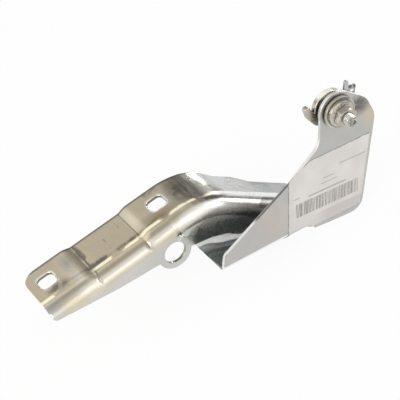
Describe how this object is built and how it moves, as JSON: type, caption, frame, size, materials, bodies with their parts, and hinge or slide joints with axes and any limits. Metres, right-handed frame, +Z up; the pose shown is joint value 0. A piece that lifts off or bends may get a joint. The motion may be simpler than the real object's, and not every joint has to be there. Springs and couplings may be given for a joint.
{
  "type": "bonnet hinge",
  "caption": "Stamped gooseneck bonnet hinge: padded bonnet arm with a side lug and folded pivot plate, turning on a sleeved bolt in a footed body bracket.",
  "frame": {"origin": "centre of the two body bolt holes, on the underside of the body bracket's foot", "axes": "+X along the arm from the bonnet pads towards the pivot, +Y along the pivot axis away from the nut, +Z up and square to the bonnet pads with the bonnet shut"},
  "size_m": [0.2447, 0.0873, 0.1014],
  "materials": {
    "plated_sheet": "zinc plated, faint yellow passivate, scuffed",
    "plated_bracket": "zinc plated, pale yellow passivate",
    "steel": "bright zinc",
    "nylon": "moulded"
  },
  "bodies": {
    "body_side": {"body_bracket": "plated_bracket", "pivot_bolt": "steel", "pivot_sleeve": "steel", "spacer_washer": "steel", "front_washer": "plated_bracket", "flange_nut": "plated_bracket"},
    "bonnet_side": {"bonnet_arm": "plated_sheet", "front_bush": "nylon", "rear_bush": "nylon"}
  },
  "joints": [
    {"name": "bonnet_swing", "type": "hinge", "parent": "body_side", "child": "bonnet_side", "pos_m": [0.0125, -0.0262, 0.0725], "axis": [0, 1, 0], "range_deg": [0, 60]}
  ]
}
